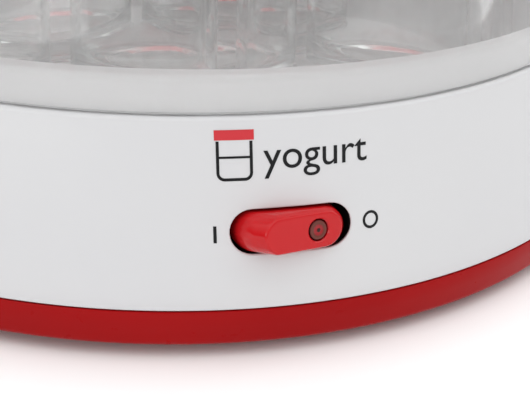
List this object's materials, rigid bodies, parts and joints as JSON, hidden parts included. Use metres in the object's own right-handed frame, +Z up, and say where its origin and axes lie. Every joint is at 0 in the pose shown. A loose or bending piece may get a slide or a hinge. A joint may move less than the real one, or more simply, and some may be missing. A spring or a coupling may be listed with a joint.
{
  "type": "yogurt maker",
  "caption": "Round electric yogurt maker: a heated base with a rocker switch and indicator lens, lidded glass jars standing in a tray, and a clear lift-off cover.",
  "frame": {"origin": "on the table under the middle of the base: the centre of the underside of the bounding box", "axes": "+Z up, with the rocker switch facing -Y and the cord inlet facing +Y"},
  "size_m": [0.24, 0.245, 0.124],
  "materials": {
    "white_plastic": "smooth, slightly glossy",
    "red_plastic": "smooth, glossy",
    "red_lid_plastic": "smooth, satin",
    "clear_plastic": "clear, polished",
    "jar_glass": "clear, polished",
    "lens_plastic": "tinted, polished",
    "lamp_glass": "clear",
    "foot_rubber": "matte",
    "steel": "bright",
    "aluminium": "mill finish",
    "brass": "bright",
    "nylon": "matte",
    "black_nylon": "matte",
    "heater_silicone": "matte",
    "gland_rubber": "matte, light grey",
    "insulation_fibre": "felted",
    "lead_brown": "matte",
    "lead_blue": "matte",
    "label_film": "matte, blank"
  },
  "bodies": {
    "base": {"base_pan": "red_plastic", "housing_shell": "white_plastic", "inner_tray": "white_plastic", "rating_label": "label_film", "foot_1": "foot_rubber", "foot_2": "foot_rubber", "foot_3": "foot_rubber", "foot_4": "foot_rubber", "casing_screw_1": "steel", "casing_screw_2": "steel", "casing_screw_3": "steel", "casing_screw_4": "steel", "heater_plate": "aluminium", "heating_cord": "heater_silicone", "thermal_fuse": "steel", "insulation_pad": "insulation_fibre", "heat_shield": "aluminium", "heater_screw_1": "steel", "heater_screw_2": "steel", "heater_screw_3": "steel", "switch_body": "black_nylon", "rocker_pin": "steel", "switch_screw_1": "steel", "switch_screw_2": "steel", "lamp_terminal": "brass", "common_terminal": "brass", "load_terminal": "brass", "cord_gland": "gland_rubber", "terminal_block": "nylon", "terminal_block_screw": "steel", "lead_line": "lead_brown", "lead_lamp": "lead_blue", "lead_switched": "lead_brown", "lead_neutral": "lead_blue"},
    "cover": {"cover": "clear_plastic"},
    "rocker": {"rocker": "red_plastic", "indicator_lens": "lens_plastic", "indicator_lamp": "lamp_glass", "plunger": "nylon", "plunger_spring": "steel"},
    "contact_lever": {"contact_lever": "brass"},
    "jar_1": {"jar_1": "jar_glass"},
    "jar_2": {"jar_2": "jar_glass"},
    "jar_3": {"jar_3": "jar_glass"},
    "jar_4": {"jar_4": "jar_glass"},
    "jar_5": {"jar_5": "jar_glass"},
    "jar_6": {"jar_6": "jar_glass"},
    "jar_7": {"jar_7": "jar_glass"},
    "jar_lid_1": {"jar_lid_1": "red_lid_plastic"},
    "jar_lid_2": {"jar_lid_2": "red_lid_plastic"},
    "jar_lid_3": {"jar_lid_3": "red_lid_plastic"},
    "jar_lid_4": {"jar_lid_4": "red_lid_plastic"},
    "jar_lid_5": {"jar_lid_5": "red_lid_plastic"},
    "jar_lid_6": {"jar_lid_6": "red_lid_plastic"},
    "jar_lid_7": {"jar_lid_7": "red_lid_plastic"}
  },
  "joints": [
    {"name": "cover_lift", "type": "slide", "parent": "base", "child": "cover", "axis": [0, 0, 1], "range_m": [0, 0.18]},
    {"name": "rocker_tilt", "type": "hinge", "parent": "base", "child": "rocker", "pos_m": [0, -0.11013, 0.02559], "axis": [0, 0.2167, 0.9762], "range_deg": [0, 14]},
    {"name": "lever_tilt", "type": "hinge", "parent": "base", "child": "contact_lever", "pos_m": [0, -0.10378, 0.02418], "axis": [0, 0.2167, 0.9762], "range_deg": [-8, 0]},
    {"name": "jar_1_lift", "type": "slide", "parent": "base", "child": "jar_1", "axis": [0, 0, 1], "range_m": [0, 0.06]},
    {"name": "jar_2_lift", "type": "slide", "parent": "base", "child": "jar_2", "axis": [0, 0, 1], "range_m": [0, 0.06]},
    {"name": "jar_3_lift", "type": "slide", "parent": "base", "child": "jar_3", "axis": [0, 0, 1], "range_m": [0, 0.06]},
    {"name": "jar_4_lift", "type": "slide", "parent": "base", "child": "jar_4", "axis": [0, 0, 1], "range_m": [0, 0.06]},
    {"name": "jar_5_lift", "type": "slide", "parent": "base", "child": "jar_5", "axis": [0, 0, 1], "range_m": [0, 0.06]},
    {"name": "jar_6_lift", "type": "slide", "parent": "base", "child": "jar_6", "axis": [0, 0, 1], "range_m": [0, 0.06]},
    {"name": "jar_7_lift", "type": "slide", "parent": "base", "child": "jar_7", "axis": [0, 0, 1], "range_m": [0, 0.06]},
    {"name": "jar_lid_1_lift", "type": "slide", "parent": "jar_1", "child": "jar_lid_1", "axis": [0, 0, 1], "range_m": [0, 0.018]},
    {"name": "jar_lid_2_lift", "type": "slide", "parent": "jar_2", "child": "jar_lid_2", "axis": [0, 0, 1], "range_m": [0, 0.018]},
    {"name": "jar_lid_3_lift", "type": "slide", "parent": "jar_3", "child": "jar_lid_3", "axis": [0, 0, 1], "range_m": [0, 0.018]},
    {"name": "jar_lid_4_lift", "type": "slide", "parent": "jar_4", "child": "jar_lid_4", "axis": [0, 0, 1], "range_m": [0, 0.018]},
    {"name": "jar_lid_5_lift", "type": "slide", "parent": "jar_5", "child": "jar_lid_5", "axis": [0, 0, 1], "range_m": [0, 0.018]},
    {"name": "jar_lid_6_lift", "type": "slide", "parent": "jar_6", "child": "jar_lid_6", "axis": [0, 0, 1], "range_m": [0, 0.018]},
    {"name": "jar_lid_7_lift", "type": "slide", "parent": "jar_7", "child": "jar_lid_7", "axis": [0, 0, 1], "range_m": [0, 0.018]}
  ],
  "couplings": [
    {"joint": "lever_tilt", "follows": "rocker_tilt", "ratio": -0.571},
    {"joint": "jar_1_lift", "follows": "cover_lift", "ratio": 0.3333},
    {"joint": "jar_2_lift", "follows": "cover_lift", "ratio": 0.3333},
    {"joint": "jar_3_lift", "follows": "cover_lift", "ratio": 0.3333},
    {"joint": "jar_4_lift", "follows": "cover_lift", "ratio": 0.3333},
    {"joint": "jar_5_lift", "follows": "cover_lift", "ratio": 0.3333},
    {"joint": "jar_6_lift", "follows": "cover_lift", "ratio": 0.3333},
    {"joint": "jar_7_lift", "follows": "cover_lift", "ratio": 0.3333},
    {"joint": "jar_lid_1_lift", "follows": "cover_lift", "ratio": 0.1},
    {"joint": "jar_lid_2_lift", "follows": "cover_lift", "ratio": 0.1},
    {"joint": "jar_lid_3_lift", "follows": "cover_lift", "ratio": 0.1},
    {"joint": "jar_lid_4_lift", "follows": "cover_lift", "ratio": 0.1},
    {"joint": "jar_lid_5_lift", "follows": "cover_lift", "ratio": 0.1},
    {"joint": "jar_lid_6_lift", "follows": "cover_lift", "ratio": 0.1},
    {"joint": "jar_lid_7_lift", "follows": "cover_lift", "ratio": 0.1}
  ]
}
